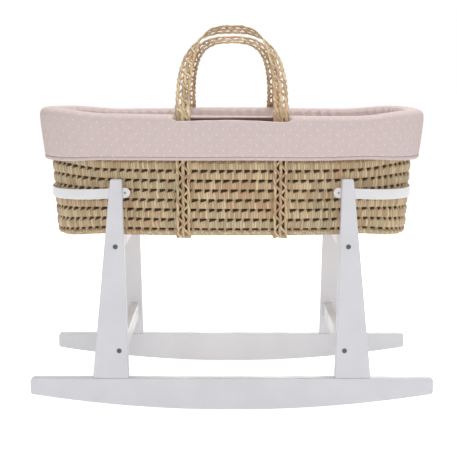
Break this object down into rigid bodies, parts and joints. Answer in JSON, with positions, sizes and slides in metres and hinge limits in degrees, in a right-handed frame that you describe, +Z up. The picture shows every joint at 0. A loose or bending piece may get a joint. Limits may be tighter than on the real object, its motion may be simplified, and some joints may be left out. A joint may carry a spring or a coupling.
{
  "type": "moses basket stand",
  "caption": "White rocking stand with curved rockers, tapered legs and end hoops, carrying an oval palm-leaf moses basket with braided handles and a dotted pink liner.",
  "frame": {"origin": "on the floor under the middle of the stand", "axes": "+Z up, X along the rockers, the front towards -Y"},
  "size_m": [0.855, 0.4892, 0.8156],
  "materials": {
    "white_paint": "white satin paint on solid wood",
    "hoop_paint": "white satin paint",
    "dark_steel": "dull grey plating",
    "zinc_steel": "zinc plating",
    "bare_wood": "bare beech",
    "palm_leaf": "dried palm leaf, wound in rows",
    "palm_braid": "braided palm leaf",
    "pink_cotton": "dusty pink cotton with small white dots",
    "pale_cotton": "off-white cotton cover"
  },
  "bodies": {
    "stand": {"front_rocker": "white_paint", "rear_rocker": "white_paint", "front_left_leg": "white_paint", "front_right_leg": "white_paint", "rear_left_leg": "white_paint", "rear_right_leg": "white_paint", "left_lower_crossbar": "white_paint", "right_lower_crossbar": "white_paint", "left_upper_crossbar": "white_paint", "right_upper_crossbar": "white_paint", "left_end_hoop": "hoop_paint", "right_end_hoop": "hoop_paint", "crossbar_bolts": "dark_steel", "barrel_nuts": "zinc_steel", "crossbar_dowels": "bare_wood", "leg_dowels": "bare_wood", "rocker_screws": "zinc_steel", "hoop_screws": "zinc_steel"},
    "basket": {"basket_base": "palm_leaf", "basket_wall": "palm_leaf", "basket_rim": "palm_leaf", "left_carrying_strap": "palm_braid", "right_carrying_strap": "palm_braid", "liner_skirt": "pink_cotton", "liner_lining": "pink_cotton", "mattress": "pale_cotton"},
    "front_handle": {"front_handle": "palm_braid"},
    "rear_handle": {"rear_handle": "palm_braid"}
  },
  "joints": [
    {"name": "basket_lift", "type": "slide", "parent": "stand", "child": "basket", "axis": [0, 0, 1], "range_m": [0, 0.35]},
    {"name": "front_handle_fold", "type": "hinge", "parent": "basket", "child": "front_handle", "pos_m": [0, -0.22962, 0.6263], "axis": [1, 0, 0], "range_deg": [0, 129]},
    {"name": "rear_handle_fold", "type": "hinge", "parent": "basket", "child": "rear_handle", "pos_m": [0, 0.22962, 0.6263], "axis": [-1, 0, 0], "range_deg": [0, 136]}
  ]
}
